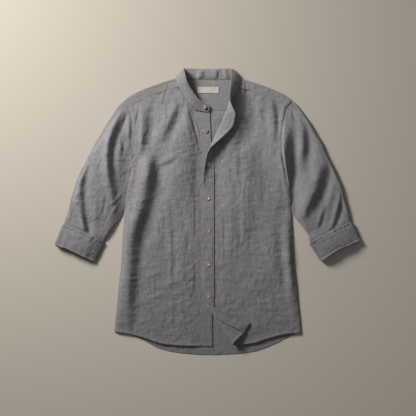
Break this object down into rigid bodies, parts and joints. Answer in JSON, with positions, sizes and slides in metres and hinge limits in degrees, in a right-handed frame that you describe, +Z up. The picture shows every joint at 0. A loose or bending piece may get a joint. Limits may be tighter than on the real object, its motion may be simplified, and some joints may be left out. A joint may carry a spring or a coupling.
{
  "type": "mandarin collar shirt",
  "caption": "Long-sleeved linen shirt with a stand-up mandarin collar, laid flat face up, open at the neck, with rolled cuffs and a bottom front corner turned back.",
  "frame": {"origin": "on the surface the shirt lies on, under the middle of its box", "axes": "+X across the shirt towards the wearer's left sleeve, +Y from the hem to the collar, +Z up from the surface, out of the shirt's front"},
  "size_m": [0.8422, 0.7869, 0.0364],
  "materials": {
    "grey_linen": "slubby plain-weave linen, charcoal grey, washed and creased, matte",
    "shell_button": "polished shell, cream to brown",
    "cream_tape": "plain woven tape, matte"
  },
  "bodies": {
    "root": {"back": "grey_linen", "yoke": "grey_linen", "left_front": "grey_linen", "right_front": "grey_linen", "button_placket": "grey_linen", "buttonhole_placket": "grey_linen", "collar_band": "grey_linen", "sleeve_left": "grey_linen", "sleeve_right": "grey_linen", "cuff_left": "grey_linen", "cuff_right": "grey_linen", "button_1": "shell_button", "button_2": "shell_button", "button_3": "shell_button", "button_4": "shell_button", "button_5": "shell_button", "button_6": "shell_button", "button_7": "shell_button", "label": "cream_tape"}
  },
  "joints": []
}
